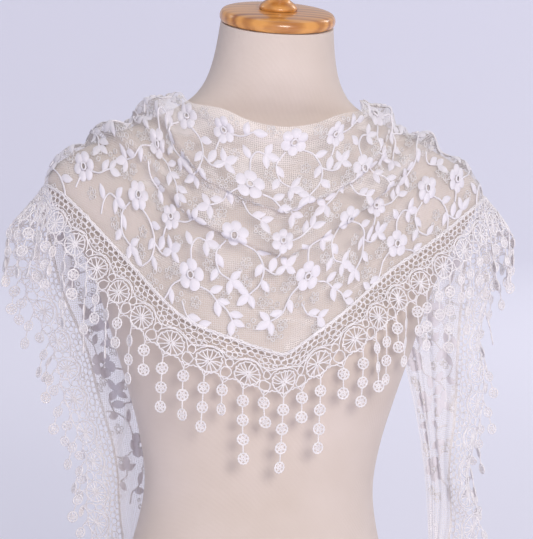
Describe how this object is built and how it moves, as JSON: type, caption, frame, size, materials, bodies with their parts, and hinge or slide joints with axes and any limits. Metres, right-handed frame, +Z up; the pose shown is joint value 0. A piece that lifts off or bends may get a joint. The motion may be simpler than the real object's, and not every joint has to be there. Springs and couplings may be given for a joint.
{
  "type": "lace church veil on a limbless dress form",
  "caption": "Triangular embroidered tulle veil with lace border and fringe, worn as a wrap with its point in front on a limbless dress form.",
  "frame": {"origin": "middle of the dress form's flat foot", "axes": "+Z up, -Y is the front, where the veil's point hangs, +X is to the viewer's right"},
  "size_m": [0.5462, 0.2575, 0.832],
  "materials": {
    "form_cloth": "close cream jersey stretched over a padded torso",
    "turned_wood": "honey brown turned wood under clear varnish",
    "embroidered_tulle": "sheer off-white tulle with raised white flower and vine embroidery",
    "lace": "matte off-white cotton guipure lace"
  },
  "bodies": {
    "root": {"form_body": "form_cloth", "form_neck_cap": "turned_wood", "form_knob": "turned_wood", "veil_front": "embroidered_tulle", "veil_shoulder_left": "embroidered_tulle", "veil_shoulder_right": "embroidered_tulle", "veil_tail_left": "embroidered_tulle", "veil_tail_right": "embroidered_tulle", "lace_front": "lace", "lace_shoulder_left": "lace", "lace_shoulder_right": "lace", "lace_tail_left": "lace", "lace_tail_right": "lace", "fringe_front": "lace", "fringe_shoulder_left": "lace", "fringe_shoulder_right": "lace", "fringe_tail_left": "lace", "fringe_tail_right": "lace"}
  },
  "joints": []
}
